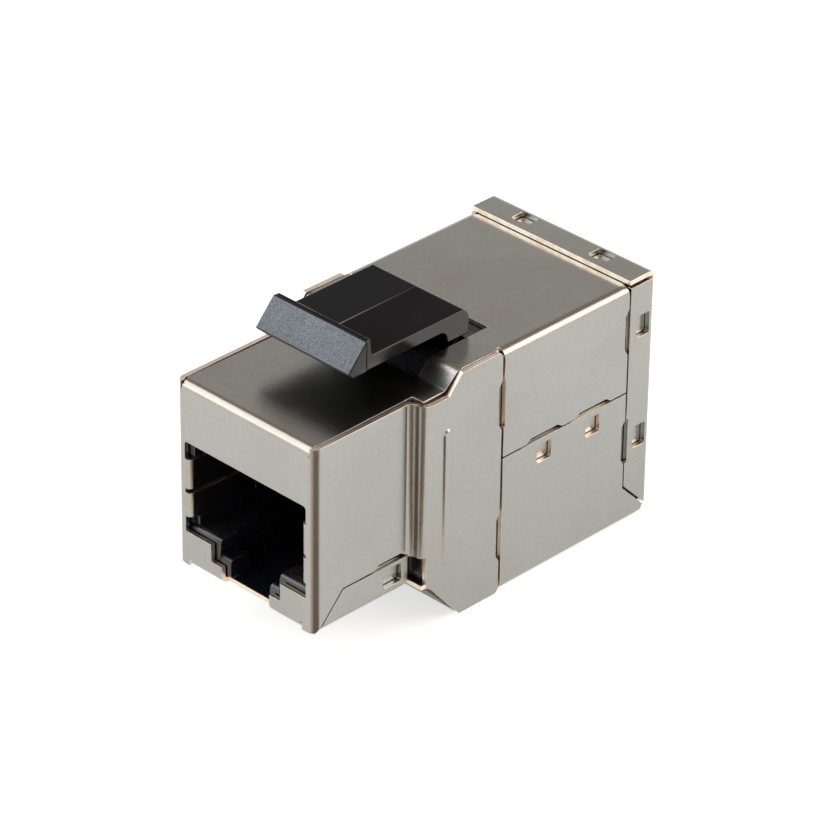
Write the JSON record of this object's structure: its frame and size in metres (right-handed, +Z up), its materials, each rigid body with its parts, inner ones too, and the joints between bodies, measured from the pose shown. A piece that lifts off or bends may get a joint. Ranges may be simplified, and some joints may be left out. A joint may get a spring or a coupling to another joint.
{
  "type": "ethernet keystone coupler",
  "caption": "Shielded in-line ethernet coupler with a port at each end, a folded metal shield and a sprung black latch, for a keystone opening.",
  "frame": {"origin": "centre of the bounding box on the plane that the coupler rests on", "axes": "+Z up from the resting plane, -Y out of the front port that faces the room, X across"},
  "size_m": [0.0172, 0.0352, 0.0248],
  "materials": {
    "plated_shield": "satin nickel plating over copper alloy sheet, bare copper colour on the cut edges",
    "black_housing": "black moulded plastic, smooth",
    "latch_plastic": "black moulded plastic, fine grain on the thumb tab",
    "board_laminate": "green solder mask on glass laminate",
    "carrier_plastic": "dark moulded plastic",
    "gilt_contact": "gold plated phosphor bronze"
  },
  "bodies": {
    "shield": {"front_shell": "plated_shield", "rear_tray": "plated_shield", "front_housing": "black_housing", "rear_housing": "black_housing", "circuit_board": "board_laminate", "front_contact_carrier": "carrier_plastic", "rear_contact_carrier": "carrier_plastic"},
    "latch": {"latch_arm": "latch_plastic"},
    "front_contacts": {"front_contact_1": "gilt_contact", "front_contact_2": "gilt_contact", "front_contact_3": "gilt_contact", "front_contact_4": "gilt_contact", "front_contact_5": "gilt_contact", "front_contact_6": "gilt_contact", "front_contact_7": "gilt_contact", "front_contact_8": "gilt_contact"},
    "rear_contacts": {"rear_contact_1": "gilt_contact", "rear_contact_2": "gilt_contact", "rear_contact_3": "gilt_contact", "rear_contact_4": "gilt_contact", "rear_contact_5": "gilt_contact", "rear_contact_6": "gilt_contact", "rear_contact_7": "gilt_contact", "rear_contact_8": "gilt_contact"}
  },
  "joints": [
    {"name": "latch_press", "type": "hinge", "parent": "shield", "child": "latch", "pos_m": [0, -0.0003, 0.01845], "axis": [1, 0, 0], "range_deg": [0, 10], "stiffness_Nm_per_rad": 0.2},
    {"name": "front_contacts_flex", "type": "hinge", "parent": "shield", "child": "front_contacts", "pos_m": [0, 0, 0.01515], "axis": [-1, 0, 0], "range_deg": [0, 3.3], "stiffness_Nm_per_rad": 0.05},
    {"name": "rear_contacts_flex", "type": "hinge", "parent": "shield", "child": "rear_contacts", "pos_m": [0, 0, 0.01515], "axis": [1, 0, 0], "range_deg": [0, 3.3], "stiffness_Nm_per_rad": 0.05}
  ]
}
